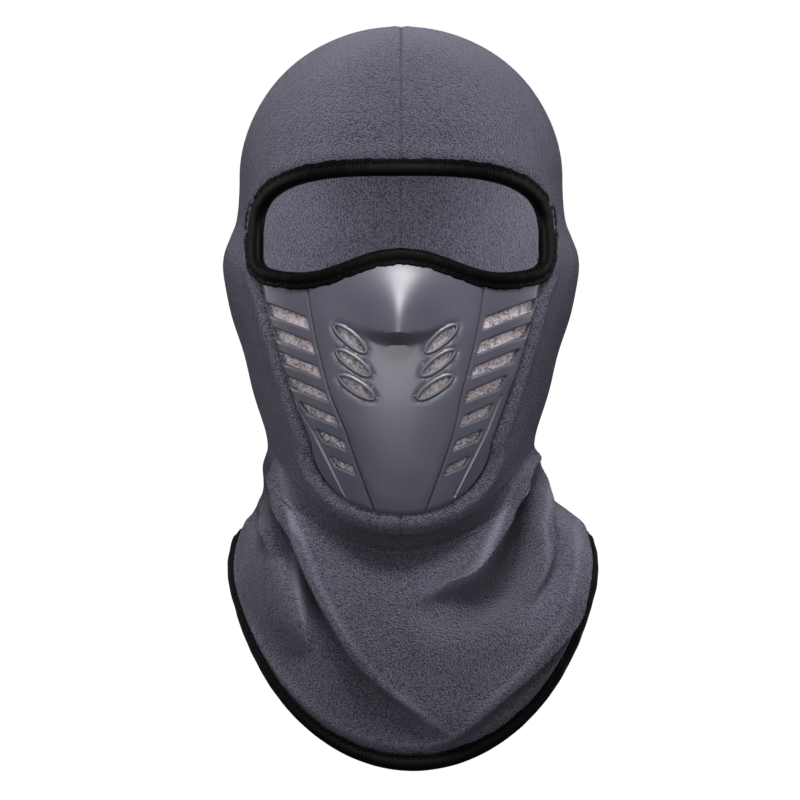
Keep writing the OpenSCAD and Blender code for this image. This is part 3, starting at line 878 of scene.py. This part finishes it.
# breather mask
nose = dict(high=11.0, tip=-153.0, start=-106.0, wideTop=25.0, wideTip=12.5, crease=-157.6,
            under=5.6, x=-1.2)
slots = dict(count=7, first=-143.3, pitch=12.3, high=6.4, taper=0.35, round=0.35)
# depths of the channel round each vent and of the long grooves, and the lip's height
grooves = dict(edge=0.45, lip=0.3, channel=0.5, inner=1.4, outer=1.3, wide=0.42,
               bevel=0.16, panel=0.5)
ovals = dict(count=3, x=22.5, z=-154.0, pitch=12.0, long=19.0, wide=4.4, turn=40.0)


def noseBump(x, z):
    # a broad dome that grows and sharpens down to the tip and turns away quickly
    # under it, along a crease that rises towards the cheeks
    x = x - nose["x"]
    t = ease((nose["start"] - z) / (nose["start"] - nose["tip"]))
    under = ease((z - nose["crease"] - 0.013 * x * x) / nose["under"])
    wide = mix(nose["wideTop"], nose["wideTip"], t)
    return nose["high"] * t * under * np.exp(-np.abs(x / wide) ** mix(2.2, 1.75, t))


def lean(z):
    # the moulded features sit a little to one side in the upper half
    return -0.5 - 2.1 * (1 - ease((-178 - z) / 25))


def innerLine(z):
    return 43.5 - 31 * np.clip((-129 - z) / 111, 0, 1) ** 1.4


def outerLine(z):
    return 57.3 - 0.51 * (-172 - z)


def slotCorners(i, side):
    # anticlockwise in the right half, from the inner upper corner
    z = slots["first"] - slots["pitch"] * i
    high = slots["high"] - slots["taper"] * i
    ends = []
    for dz, off, slope in ((0, 2.6, 0.36 + 0.02 * i), (high, 2.2, 0.35 + 0.01 * i)):
        start = (innerLine(z - dz) + side * lean(z - dz) + off, z - dz)
        x, zz = start
        for _ in range(8):
            x = min(float(maskHalf(zz)) + 0.8, outerLine(zz) + side * lean(zz)) - 2.2
            zz = start[1] + slope * (x - start[0])
        ends += [start, (x, zz)]
    return np.array([ends[0], ends[2], ends[3], ends[1]])


def roundLoop(corners, radius, step=0.75):
    # the outline that stays one radius away from a convex polygon
    n = len(corners)
    out = -leftOf(unit(np.roll(corners, -1, 0) - corners))
    parts = []
    for k in range(n):
        a0 = math.atan2(out[k - 1, 1], out[k - 1, 0])
        a1 = math.atan2(out[k, 1], out[k, 0])
        turn = np.linspace(0, (a1 - a0) % (2 * math.pi), 6)
        parts.append(corners[k] + radius * np.stack([np.cos(a0 + turn), np.sin(a0 + turn)], -1))
    return evenly(np.vstack(parts), step, closed=True)


def shrink(corners, by):
    out = -leftOf(unit(np.roll(corners, -1, 0) - corners))
    prev = np.roll(out, 1, 0)
    return corners - by * (out + prev) / (1 + (out * prev).sum(1))[:, None]


def ovalLoop(i, grow, side):
    # an ellipse with slightly pointed ends, tilted up outwards
    a = np.linspace(0, 2 * math.pi, 200, endpoint=False)
    turn = math.radians(ovals["turn"] - 3.5 * i)
    u = (ovals["long"] / 2 + grow) * np.cos(a)
    w = (ovals["wide"] / 2 + grow) * np.sign(np.sin(a)) * np.abs(np.sin(a)) ** 1.25
    z = ovals["z"] - ovals["pitch"] * i
    x = ovals["x"] - 1.6 * i + side * lean(z) + u * math.cos(turn) - w * math.sin(turn)
    line = np.stack([x, z + u * math.sin(turn) + w * math.cos(turn)], -1)
    return onSide(evenly(line, 0.6, closed=True), side)


def onSide(line, side):
    return line if side > 0 else line[::-1] * (-1, 1)


sides = (1, -1)
slotCores = [(shrink(slotCorners(i, side), slots["round"]), side)
             for i in range(slots["count"]) for side in sides]


def slotLoop(core, side, grow):
    return onSide(roundLoop(core, slots["round"] + grow), side)


slotHoles = [slotLoop(core, side, 0) for core, side in slotCores]
ovalHoles = [ovalLoop(i, 0, side) for i in range(ovals["count"]) for side in sides]
zInner, zOuter = np.linspace(-127, -238.5, 200), np.linspace(-182, -231.6, 100)
innerGrooves, outerGrooves = (
    [evenly(np.stack([side * line(z) + lean(z), z], -1), 0.6) for side in sides]
    for line, z in ((innerLine, zInner), (outerLine, zOuter)))


def maskRelief(x, z):
    # height over the head's form: sunk under the fleece at the rim, the nose,
    # raised lips round the vents, narrow grooves, a bevel outside the long seam
    p = np.stack([x, z], -1)
    across = np.abs(x - lean(z))
    rim = maskOutline()
    deep = nearest(p, evenly(rim, 0.8)) * np.where(inside(p, rim), 1, -1)
    bySlot = nearest(p, np.vstack(slotHoles))
    byOval = nearest(p, np.vstack(ovalHoles))
    up = -mask["sink"] * (1 - ease((deep + 0.5) / 3.4)) + noseBump(x, z)
    up -= grooves["edge"] * (1 - ease((bySlot - 0.05) / 0.6))
    up += grooves["lip"] * bell(byOval - 0.75, 0.55) - grooves["channel"] * bell(
        byOval - 1.95, grooves["wide"])
    up -= grooves["inner"] * bell(nearest(p, np.vstack(innerGrooves)), grooves["wide"])
    up -= grooves["outer"] * bell(nearest(p, np.vstack(outerGrooves)), grooves["wide"])
    outside = (across - outerLine(z)) / 1.12
    up -= np.clip(outside, 0, 12) * grooves["bevel"] * ease((-168 - z) / 12)
    up += grooves["panel"] * ease((innerLine(z) - across) / 3) * ease((deep - 2) / 8)
    return up


def maskPoint(x, z, under=0.0):
    place, out = onHead(x, z)
    return place + out * (maskRelief(x, z) - under)[:, None], out


def makeMask():
    free = comb(78, -250, -98, mask["step"])
    free += rng.uniform(-0.12, 0.12, free.shape)
    rings = [slotLoop(core, side, g) for g in (0.3, 0.65, 1.1) for core, side in slotCores]
    rings += [ovalLoop(i, g, side) for i in range(ovals["count"]) for side in sides
              for g in (0.35, 0.75, 1.2, 1.6, 1.95, 2.3)]
    rings += [growLine(line, g) for line in innerGrooves + outerGrooves
              for g in (-0.8, -0.4, 0, 0.4, 0.8)]
    rings += [evenly(maskOutline(g), 1.0) for g in (-4, -3, -2, -1, 0)]
    rings = np.vstack(rings)
    rings = rings[nearest(rings, np.vstack(slotHoles + ovalHoles)) > 0.22]
    kept = np.zeros(len(rings), bool)  # no two nearer than a third of a millimetre
    cells = np.round(rings / 0.36).astype(int)
    kept[np.unique(cells, axis=0, return_index=True)[1]] = True
    rings = rings[kept]
    free = free[nearest(free, rings) > 0.75]
    border = evenly(maskOutline(mask["flange"]), 1.2, closed=True)
    top = evenly(eyeOutline(), 1.0, closed=True)
    lines = [(border, True), (top, True)] + [(l, True) for l in slotHoles + ovalHoles]

    def keep(c):
        good = inside(c, border) & ~inside(c, top) & (c[:, 1] < eye["level"])
        for hole in slotHoles + ovalHoles:
            close = (np.abs(c - hole.mean(0)) < 20).all(1)
            good[close] &= ~inside(c[close], hole)
        return good
    flat, faces = triangulate(np.vstack([rings, free]), lines, keep, 0.25)
    points, out = maskPoint(flat[:, 0], flat[:, 1])
    turnOut(points, faces, out)
    return thicken(points, faces, out, mask["thick"], puff=0.05)


points, faces = makeMask()
makeMesh("breatherMask", points, faces, silicone, ["breather_mask"], sharp=38)
print("breatherMask", len(faces))

# lining and pile
lining = dict(thick=1.6, under=2.4, step=3.0, fibres=15000, fibreLong=2.6, fibreWide=0.22)


def makeLining():
    free = comb(72, -244, -110, lining["step"])
    rim = evenly(maskOutline(-1.6, top=-116), 1.5)
    top = evenly(growOutline(eyeOutline(), 8.0), 1.5, closed=True)
    keep = lambda c: inside(c, rim) & ~inside(c, top)
    flat, faces = triangulate(free, [(rim, True), (top, True)], keep, 1.0)
    place, out = onHead(flat[:, 0], flat[:, 1])
    soft = 0.25 * np.sin(flat[:, 0] * 1.7) * np.sin(flat[:, 1] * 1.3)
    up = noseBump(flat[:, 0], flat[:, 1]) - lining["under"] + soft - mask["sink"] * (
        1 - ease((nearest(flat, evenly(maskOutline(), 1.0)) + 0.5) / 4.0))
    points = place + out * up[:, None]
    turnOut(points, faces, out)
    return thicken(points, faces, out, lining["thick"])


def growOutline(loop, grow):
    return loop - leftOf(unit(np.roll(loop, -1, 0) - np.roll(loop, 1, 0))) * grow


points, faces = makeLining()
liningPiece = makeMesh("faceLining", points, faces, pileFinish,
                       ["face_lining"], sharp=75,
                       shade=0.3 + 0.25 * rng.random(len(points)))


def makePile():
    # bent fibres, three sided, standing on the lining behind each vent
    holes = slotHoles + ovalHoles
    spots = []
    for hole in holes:
        low, high = hole.min(0) - 1.2, hole.max(0) + 1.2
        p = rng.uniform(low, high, (2600, 2))
        grown = hole.mean(0) + (hole - hole.mean(0)) * (1.12, 1.3)
        spots.append(p[inside(p, grown)][:lining["fibres"] // len(holes)])
    p = np.vstack(spots)
    place, out = onHead(p[:, 0], p[:, 1])
    bump = noseBump(p[:, 0], p[:, 1])
    root = place + out * (bump - lining["under"] - 0.1)[:, None]
    lean = unit(out * rng.uniform(0.05, 0.75, (len(p), 1)) + rng.normal(0, 0.75, (len(p), 3)))
    curl = unit(lean + rng.normal(0, 0.6, (len(p), 3)))
    long = lining["fibreLong"] * rng.uniform(0.45, 1.0, (len(p), 1))
    middle, tip = root + lean * long * 0.55, root + (lean + curl) * long * 0.5
    over = np.clip(((tip - place) * out).sum(1) - bump + 0.5, 0, None)
    tip = tip - out * over[:, None]
    side = unit(np.cross(lean, out + 0.01))
    other = np.cross(lean, side)
    turn = np.arange(3) * 2 * math.pi / 3
    ring = (side[:, None] * np.cos(turn)[None, :, None]
            + other[:, None] * np.sin(turn)[None, :, None]) * lining["fibreWide"] / 2
    points = np.concatenate([root[:, None] + ring, middle[:, None] + ring * 0.9,
                             tip[:, None] + ring * 0.35], 1)
    one = np.array([[0, 1, 4, 3], [1, 2, 5, 4], [2, 0, 3, 5], [3, 4, 7, 6], [4, 5, 8, 7],
                    [5, 3, 6, 8], [0, 2, 1, -1], [6, 7, 8, -1]])
    faces = one[None] + (np.arange(len(p)) * 9)[:, None, None]
    faces = np.where(one[None] < 0, -1, faces).reshape(-1, 4)
    tone = rng.beta(0.9, 1.0, len(p))
    return points.reshape(-1, 3), faces, np.repeat(tone, 9)


points, faces, tone = makePile()
pile = makeMesh("liningPile", points, faces, pileFinish, shade=tone)
print("lining", len(faces))

# binding tapes
binding = dict(
    # section: distance in from the edge and height over the cloth
    outer=[(7.0, 0.05), (7.15, 0.5), (6.7, 1.05), (6.1, 1.2), (5.5, 0.98), (5.0, 0.86),
           (4.5, 1.02), (3.8, 1.5), (2.9, 1.95), (1.9, 2.2), (0.9, 2.2), (0.0, 1.9),
           (-0.8, 1.3), (-1.4, 0.4), (-1.65, -0.6), (-1.6, -1.7), (-1.3, -2.7),
           (-0.7, -3.5), (0.2, -4.0), (1.4, -4.1), (2.8, -3.8), (4.2, -3.3), (5.0, -3.05),
           (5.8, -3.2), (6.5, -3.1), (6.8, -2.6), (6.6, -2.15)],
    inner=[(5.0, -2.1), (3.0, -2.1), (1.0, -2.12), (0.2, -1.9), (0.1, -1.0), (0.2, -0.12),
           (1.0, 0.02), (3.0, 0.02), (5.0, 0.03)],
    step=1.1, stitch=2.6, pitch=3.4, thread=0.62, stitchAt=5.1, stitchHigh=1.05)


def tapeMesh(surface, count, length):
    # the section carried round a closed edge; surface(i, d) gives the place and
    # the outward normal d millimetres in from the edge. The edge of the tape
    # swells between stitches
    section = np.array(binding["outer"] + binding["inner"])
    turn = np.arange(count)[:, None] * 2 * math.pi / count
    beat = length / binding["pitch"]
    swell = np.cos(turn * round(beat))
    lumps = (np.sin(turn * 37 + 1) + np.sin(turn * 23 + 2.2) + np.sin(turn * 61)) / 3
    d = section[None, :, 0] * (1 + 0.02 * lumps)
    d = d + np.where(section[None, :, 0] > 5.8, 0.16 * swell + 0.3 * lumps, 0)
    h = section[None, :, 1] * np.where(section[None, :, 1] > 0, 1 + 0.10 * lumps, 1)
    h = h + np.where((section[None, :, 0] > 5.6) & (h > 0.9), -0.09 * swell, 0)
    place, out = surface(np.arange(count)[:, None], d)
    points = place + out * h[..., None]
    faces = gridFaces(count, len(section), wrapRows=True, wrapCols=True)
    flat = points.reshape(-1, 3)
    middle = np.repeat(points.mean(1), len(section), 0)
    face = faceNormals(flat, faces)
    outerOnly = (np.arange(len(faces)) % len(section)) < len(binding["outer"]) - 1
    facing = (face * (flat[faces[:, 0]] - middle)).sum(1)[outerOnly].sum()
    if facing < 0:
        faces = faces[:, ::-1]
    # a length along and across the tape for each corner, unbroken round the loop
    run = runAlong(section)
    run = np.r_[run, run[-1] + 0.5] * mm
    grid = np.stack(np.broadcast_arrays(np.arange(count + 1)[:, None] * length / count * mm,
                                        run[None]), -1).reshape(-1, 2)
    order = gridFaces(count + 1, len(section) + 1)
    uv = grid[(order[:, ::-1] if facing < 0 else order).ravel()]
    return flat, faces, uv


def tapeStitches(surface, count, length):
    n = int(length / binding["pitch"])
    i = (np.arange(n) * count / n)[:, None]
    d = np.full((n, 1), binding["stitchAt"])
    place, out = surface(i, d)
    ahead, _ = surface(i + 0.4, d)
    place, out, ahead = place[:, 0], out[:, 0], ahead[:, 0]
    return stitchMesh(place + out * binding["stitchHigh"], unit(ahead - place), out,
                      binding["stitch"], binding["thread"])


eyeFine = evenly(eyeOutline(), 0.4, closed=True)
eyeLong = np.linalg.norm(eyeFine - np.roll(eyeFine, 1, 0), axis=1).sum()
eyeCount = int(eyeLong / binding["step"])


def eyeSurface(i, d):
    # moves outwards in front view, less at the sides where the head turns away
    at = np.asarray(i, float) * len(eyeFine) / eyeCount
    k = np.floor(at).astype(int)
    line = eyeFine
    out2 = -leftOf(unit(np.roll(line, -3, 0) - np.roll(line, 3, 0)))
    n = len(line)
    t = (at - k)[..., None]
    base = mix(line[k % n], line[(k + 1) % n], t)
    side = unit(mix(out2[k % n], out2[(k + 1) % n], t))
    base, side, d = np.broadcast_arrays(base, side, np.asarray(d)[..., None])
    grow = d[..., :1] * (1 - 0.2 * side[..., :1] ** 2)
    p = base + side * grow
    place, out = onHead(p[..., 0], p[..., 1])
    bump = noseBump(p[..., 0], p[..., 1]) * (p[..., 1] < eye["level"])
    return place + out * bump[..., None], out


hemCount = 620
hemAngles = np.linspace(0, 2 * math.pi, 4001)
hemRun = runAlong(capeBase(hemAngles, 1.0))
hemLong = float(hemRun[-1])


def hemSurface(i, d):
    # measured up from the hem of the folded cape, following its slope
    i, d = np.broadcast_arrays(np.asarray(i, float), np.asarray(d, float))
    a = np.interp((i / hemCount % 1) * hemLong, hemRun, hemAngles)
    edge, above = capeSurface(a, np.full(a.shape, 1.0)), capeSurface(a, np.full(a.shape, 0.93))
    up = unit(above - edge)
    around = capeSurface(a + 0.012, np.full(a.shape, 0.985)) - capeSurface(
        a - 0.012, np.full(a.shape, 0.985))
    out = unit(np.cross(-up, around))
    return edge + up * d[..., None], out


for name, node, *edge in (("eyeBinding", "eye_binding", eyeSurface, eyeCount, eyeLong),
                          ("hemBinding", "hem_binding", hemSurface, hemCount, hemLong)):
    points, faces, uv = tapeMesh(*edge)
    makeMesh(name, points, faces, tapeFinish, [node], uv=uv, sharp=80)
    points, faces = tapeStitches(*edge)
    makeMesh(name + "Stitches", points, faces, blackThread,
             [node + "_thread"])
print("bindings", round(eyeLong), round(hemLong))

# seams and label
seams = dict(pitch=3.6, stitch=2.6, thread=0.6, inside=2.2)


def runStitches(line, out, name, finish, stands, across=False):
    # stitches one pitch apart along a line of places with their normals
    run = runAlong(line)
    at = np.arange(seams["pitch"], run[-1] - seams["pitch"], seams["pitch"])
    pick = lambda values: np.stack([np.interp(at, run, values[:, k]) for k in range(3)], -1)
    place, normal = pick(line), unit(pick(out))
    along = unit(pick(np.gradient(line, axis=0)))
    if across:
        along = unit(np.cross(normal, along) + 0.45 * along)
    points, faces = stitchMesh(place, along, normal, seams["stitch"], seams["thread"])
    return makeMesh(name, points, faces, finish, stands)


def headLine(a, v):
    # a line on the inside of the hood
    place, out = headPoint(a, v), headNormal(a, v)
    return place + out * (-seams["inside"] + hoodRelief(place))[:, None], -out


# overlock on the inside of the crown seam: front part, back part
frontLine, frontOut = headLine(np.zeros(200), np.linspace(0.1, 0.90, 200))
backLine, backOut = headLine(np.full(500, math.pi), np.linspace(0.1, vJaw - 0.1, 500))
neckLine, neckOut = headLine(np.linspace(0, 2 * math.pi, 900), np.full(900, vJaw - 0.25))
down, middle = np.linspace(0.08, 0.9, 200), np.full(200, math.pi)
spine = capeSurface(middle, down)
around = capeSurface(middle + 0.02, down) - capeSurface(middle - 0.02, down)
spineOut = unit(np.cross(np.gradient(spine, axis=0), around))
trace = evenly(maskOutline(mask["flange"] / 2, top=-132), 1.0)
maskEdge, maskOut = maskPoint(trace[:, 0], trace[:, 1], under=mask["thick"] + 0.15)
trace = evenly(maskOutline(-4.0, top=-132), 1.0)
liningEdge, liningOut = onHead(trace[:, 0], trace[:, 1])
liningEdge = liningEdge - liningOut * (lining["under"] + lining["thick"] + 0.2)
for name, line, out, thread, slot, node, across in (
        ("crownSeamStitches", np.vstack([frontLine[::-1], backLine]),
         np.vstack([frontOut[::-1], backOut]), greyThread, "seam_thread",
         "crown_seam_thread", True),
        ("neckSeamStitches", neckLine, neckOut, greyThread, "seam_thread",
         "neck_seam_thread", True),
        ("capeBackStitches", spine - spineOut * seams["inside"], -spineOut, greyThread,
         "seam_thread", "cape_back_seam_thread", True),
        ("maskSeamStitches", maskEdge, -maskOut, greyThread, "seam_thread",
         "mask_seam_thread", False),
        ("liningStitches", liningEdge, -liningOut, pinkThread, "lining_thread",
         "lining_thread", False)):
    runStitches(line, out, name, thread, [node], across)

label = dict(wide=30.0, thick=0.45, lift=0.5, inside=2.15, curl=1.2, ripple=0.25)


def makeLabel():
    # a strip of ribbon lying on the inside of the nape, its free end curling
    half = label["wide"] / 2 / 78
    a = np.linspace(math.pi - half, math.pi + half, 26)[None]
    v = np.linspace(vJaw - 1.9, vJaw - 0.35, 20)[:, None]
    a, v = np.broadcast_arrays(a, v)
    out = headNormal(a, v)
    down = (v - v.min()) / (v.max() - v.min())
    lift = label["lift"] + label["curl"] * down**2 + label["ripple"] * np.sin(a * 40)
    points = headPoint(a, v) - out * (label["inside"] + lift)[..., None]
    flat, skin = points.reshape(-1, 3), out.reshape(-1, 3)
    faces = gridFaces(20, 26)
    if (faceNormals(flat, faces) * skin[faces[:, 0]]).sum() < 0:
        faces = faces[:, ::-1]
    return thicken(flat, faces, skin, label["thick"], puff=0.2)


points, faces = makeLabel()
labelPiece = makeMesh("careLabel", points, faces, labelFinish, ["care_label"], sharp=60)
aa = np.linspace(math.pi - 0.17, math.pi + 0.17, 80)
vTop = np.full(80, vJaw - 1.8)
out = headNormal(aa, vTop)
line = headPoint(aa, vTop) - out * (label["inside"] + label["lift"] + label["thick"] + 0.15)
labelStitches = runStitches(line, -out, "careLabelStitches", greyThread,
                            ["care_label_thread"])
print("seams and label")

# studio, light and camera
studio = dict(floor=-0.62, flat=11.0, reach=14.0, high=9.0)


def makeStage():
    # a round floor that curves up all the way round, like a bowl
    t = np.linspace(0, math.pi / 2, 16)
    far = studio["reach"] - studio["flat"]
    r = np.r_[0.5, 4.0, studio["flat"] + far * np.sin(t), studio["reach"]]
    z = studio["floor"] + np.r_[0, 0, far * (1 - np.cos(t)), studio["high"]]
    a = np.linspace(0, 2 * math.pi, 64, endpoint=False)
    ring = np.stack([r[:, None] * np.cos(a), r[:, None] * np.sin(a),
                     np.broadcast_to(z[:, None], (len(z), 64))], -1).reshape(-1, 3)
    mesh = bpy.data.meshes.new("studioSweep")
    mesh.from_pydata(ring.tolist(), [], [list(range(64))]
                     + gridFaces(len(r), 64, wrapCols=True)[:, ::-1].tolist())
    mesh.materials.append(dress(newFinish("palePaperSweep")[0], {
        "Base Color": linear("#ffffff"), "Roughness": 0.9, "Emission Color": (1, 1, 1, 1),
        "Emission Strength": 0.9}))
    sweep = bpy.data.objects.new("studioSweep", mesh)
    bpy.context.collection.objects.link(sweep)
    sweep.visible_diffuse = sweep.visible_glossy = False


makeStage()


def softbox(name, place, target, size, power):
    light = bpy.data.lights.new(name, "AREA")
    light.shape, light.size, light.size_y, light.energy = "RECTANGLE", size[0], size[1], power
    lamp = bpy.data.objects.new(name, light)
    lamp.location = place
    lamp.rotation_euler = (Vector(target) - Vector(place)).to_track_quat("-Z", "Y").to_euler()
    lamp.visible_camera = False
    bpy.context.collection.objects.link(lamp)


softbox("topSoftbox", (0.10, -1.05, 1.45), (0, 0, -0.14), (0.8, 0.45), 36)
softbox("frontFill", (-0.2, -2.6, 0.25), (0, 0, -0.2), (1.3, 1.0), 23)
softbox("leftStrip", (-1.3, 0.45, 0.3), (0, 0, -0.15), (0.4, 1.0), 6)
softbox("rightStrip", (1.3, 0.45, 0.3), (0, 0, -0.15), (0.4, 1.0), 6)
softbox("innerGlow", (0, -0.06, -0.10), (0, 0.1, -0.09), (0.09, 0.04), 0.2)

world = bpy.data.worlds.new("studioWorld")
bpy.context.scene.world = world
world.use_nodes = True
world.node_tree.nodes["Background"].inputs["Color"].default_value = linear("#ffffff")
world.node_tree.nodes["Background"].inputs["Strength"].default_value = 0.14

# the across value is the width seen at the front of the mask, ahead metres forward
view = dict(x=-0.0005, z=-0.1842, away=10.0, across=0.3976, ahead=0.03, sensor=36)
lens = bpy.data.cameras.new("productCamera")
lens.sensor_width = view["sensor"]
lens.lens = view["sensor"] * (view["away"] - view["ahead"]) / view["across"]
lens.clip_end = 80
camera = bpy.data.objects.new("productCamera", lens)
camera.location = (view["x"], -view["away"], view["z"])
camera.rotation_euler = (math.pi / 2, 0, 0)
bpy.context.collection.objects.link(camera)
bpy.context.scene.camera = camera
bpy.context.scene.view_settings.view_transform = "Standard"
print("studio ready")
